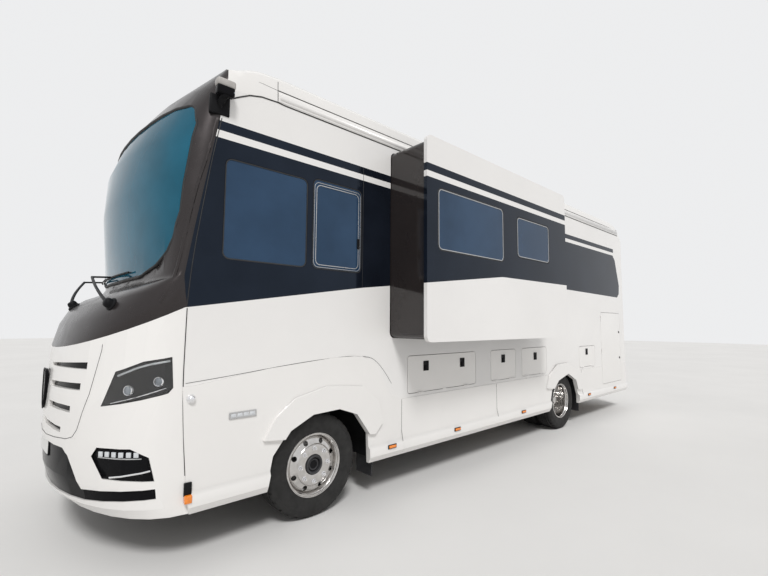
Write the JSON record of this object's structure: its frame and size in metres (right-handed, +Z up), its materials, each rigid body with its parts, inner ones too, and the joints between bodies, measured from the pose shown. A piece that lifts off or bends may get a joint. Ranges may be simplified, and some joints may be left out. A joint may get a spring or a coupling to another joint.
{
  "type": "motorhome",
  "caption": "Large integrated motorhome on a truck chassis, with a side room run out of its left wall, hinged lockers, garage doors and twin rear wheels.",
  "frame": {"origin": "on the ground under the middle of the overall box, side room out", "axes": "+X to the coach's front, +Y to its left, +Z up"},
  "size_m": [9.18, 3.17, 3.7],
  "materials": {
    "white_paint": "gloss",
    "graphite_paint": "gloss metallic",
    "tinted_glass": "gloss",
    "lamp_glass": "gloss",
    "black_plastic": "satin",
    "chassis_paint": "satin",
    "engine_iron": "rough",
    "floor_board": "satin",
    "seat_leather": "matte",
    "tyre_rubber": "matte",
    "polished_alloy": "polished"
  },
  "bodies": {
    "coach": {"front_mask": "white_paint", "front_panel": "white_paint", "roof": "white_paint", "side_wall_left": "white_paint", "side_wall_right": "white_paint", "rear_wall": "white_paint", "front_wing_left": "white_paint", "front_wing_right": "white_paint", "side_skirt_left": "white_paint", "side_skirt_right": "white_paint", "windscreen_surround": "graphite_paint", "windscreen": "tinted_glass", "window_cab_left": "tinted_glass", "window_sliding_left": "tinted_glass", "window_cab_right": "tinted_glass", "window_lounge_right": "tinted_glass", "headlamp_left": "lamp_glass", "headlamp_right": "lamp_glass", "front_black_trim": "black_plastic", "dashboard": "black_plastic", "mirror_arm_left": "black_plastic", "mirror_arm_right": "black_plastic", "chassis_frame": "chassis_paint", "front_axle": "chassis_paint", "rear_axle": "chassis_paint", "fuel_tank": "chassis_paint", "locker_floor": "chassis_paint", "engine": "engine_iron", "cabin_floor": "floor_board", "driver_seat": "seat_leather", "passenger_seat": "seat_leather"},
    "side_room": {"side_room": "graphite_paint", "side_room_fascia": "white_paint", "room_window_front": "tinted_glass", "room_window_back": "tinted_glass"},
    "entry_door": {"entry_door": "white_paint", "window_entry": "tinted_glass"},
    "steering_wheel": {"steering_wheel": "black_plastic"},
    "knuckle_left": {"knuckle_left": "chassis_paint"},
    "knuckle_right": {"knuckle_right": "chassis_paint"},
    "wheel_front_left": {"tyre_front_left": "tyre_rubber", "wheel_front_left": "polished_alloy"},
    "wheel_front_right": {"tyre_front_right": "tyre_rubber", "wheel_front_right": "polished_alloy"},
    "wheel_rear_left": {"tyre_rear_left": "tyre_rubber", "inner_tyre_rear_left": "tyre_rubber", "wheel_rear_left": "polished_alloy"},
    "wheel_rear_right": {"tyre_rear_right": "tyre_rubber", "inner_tyre_rear_right": "tyre_rubber", "wheel_rear_right": "polished_alloy"},
    "locker_door_long": {"locker_door_long": "white_paint"},
    "locker_door_mid": {"locker_door_mid": "white_paint"},
    "locker_door_small": {"locker_door_small": "white_paint"},
    "locker_door_tail": {"locker_door_tail": "white_paint"},
    "locker_door_right": {"locker_door_right": "white_paint"},
    "garage_door_left": {"garage_door_left": "white_paint"},
    "garage_door_right": {"garage_door_right": "white_paint"}
  },
  "joints": [
    {"name": "side_room_slide", "type": "slide", "parent": "coach", "child": "side_room", "axis": [0, 1, 0], "range_m": [-0.465, 0]},
    {"name": "locker_door_long_hinge", "type": "hinge", "parent": "coach", "child": "locker_door_long", "pos_m": [1.15495, 1.0725, 0.92207], "axis": [-1, 0, 0], "range_deg": [0, 95]},
    {"name": "locker_door_mid_hinge", "type": "hinge", "parent": "coach", "child": "locker_door_mid", "pos_m": [-0.06496, 1.0725, 0.92207], "axis": [-1, 0, 0], "range_deg": [0, 95]},
    {"name": "locker_door_small_hinge", "type": "hinge", "parent": "coach", "child": "locker_door_small", "pos_m": [-0.88501, 1.0725, 0.92207], "axis": [-1, 0, 0], "range_deg": [0, 95]},
    {"name": "locker_door_tail_hinge", "type": "hinge", "parent": "coach", "child": "locker_door_tail", "pos_m": [-2.73005, 1.0725, 0.92207], "axis": [-1, 0, 0], "range_deg": [0, 95]},
    {"name": "locker_door_right_hinge", "type": "hinge", "parent": "coach", "child": "locker_door_right", "pos_m": [-0.28002, -1.4425, 0.92207], "axis": [1, 0, 0], "range_deg": [0, 95]},
    {"name": "garage_door_left_hinge", "type": "hinge", "parent": "coach", "child": "garage_door_left", "pos_m": [-3.36693, 1.0725, 1.21498], "axis": [0, 0, -1], "range_deg": [0, 100]},
    {"name": "garage_door_right_hinge", "type": "hinge", "parent": "coach", "child": "garage_door_right", "pos_m": [-3.36693, -1.4425, 1.21498], "axis": [0, 0, 1], "range_deg": [0, 100]},
    {"name": "entry_door_hinge", "type": "hinge", "parent": "coach", "child": "entry_door", "pos_m": [1.81307, -1.4425, 1.93748], "axis": [0, 0, 1], "range_deg": [0, 90]},
    {"name": "steer_left", "type": "hinge", "parent": "coach", "child": "knuckle_left", "pos_m": [2.82, 0.715, 0.433], "axis": [0, 0, 1], "range_deg": [-40, 40]},
    {"name": "spin_front_left", "type": "hinge", "parent": "knuckle_left", "child": "wheel_front_left", "pos_m": [2.82, 0.89, 0.433], "axis": [0, 1, 0], "continuous": true},
    {"name": "spin_rear_left", "type": "hinge", "parent": "coach", "child": "wheel_rear_left", "pos_m": [-1.8, 0.89, 0.433], "axis": [0, 1, 0], "continuous": true},
    {"name": "steer_right", "type": "hinge", "parent": "coach", "child": "knuckle_right", "pos_m": [2.82, -1.085, 0.433], "axis": [0, 0, 1], "range_deg": [-40, 40]},
    {"name": "spin_front_right", "type": "hinge", "parent": "knuckle_right", "child": "wheel_front_right", "pos_m": [2.82, -1.26, 0.433], "axis": [0, 1, 0], "continuous": true},
    {"name": "spin_rear_right", "type": "hinge", "parent": "coach", "child": "wheel_rear_right", "pos_m": [-1.8, -1.26, 0.433], "axis": [0, 1, 0], "continuous": true},
    {"name": "steering_wheel_turn", "type": "hinge", "parent": "coach", "child": "steering_wheel", "pos_m": [3.62, 0.365, 2.02], "axis": [-0.6, 0, 0.8], "range_deg": [-720, 720]}
  ],
  "couplings": [
    {"joint": "steer_right", "follows": "steer_left", "ratio": 1},
    {"joint": "steering_wheel_turn", "follows": "steer_left", "ratio": 18}
  ]
}
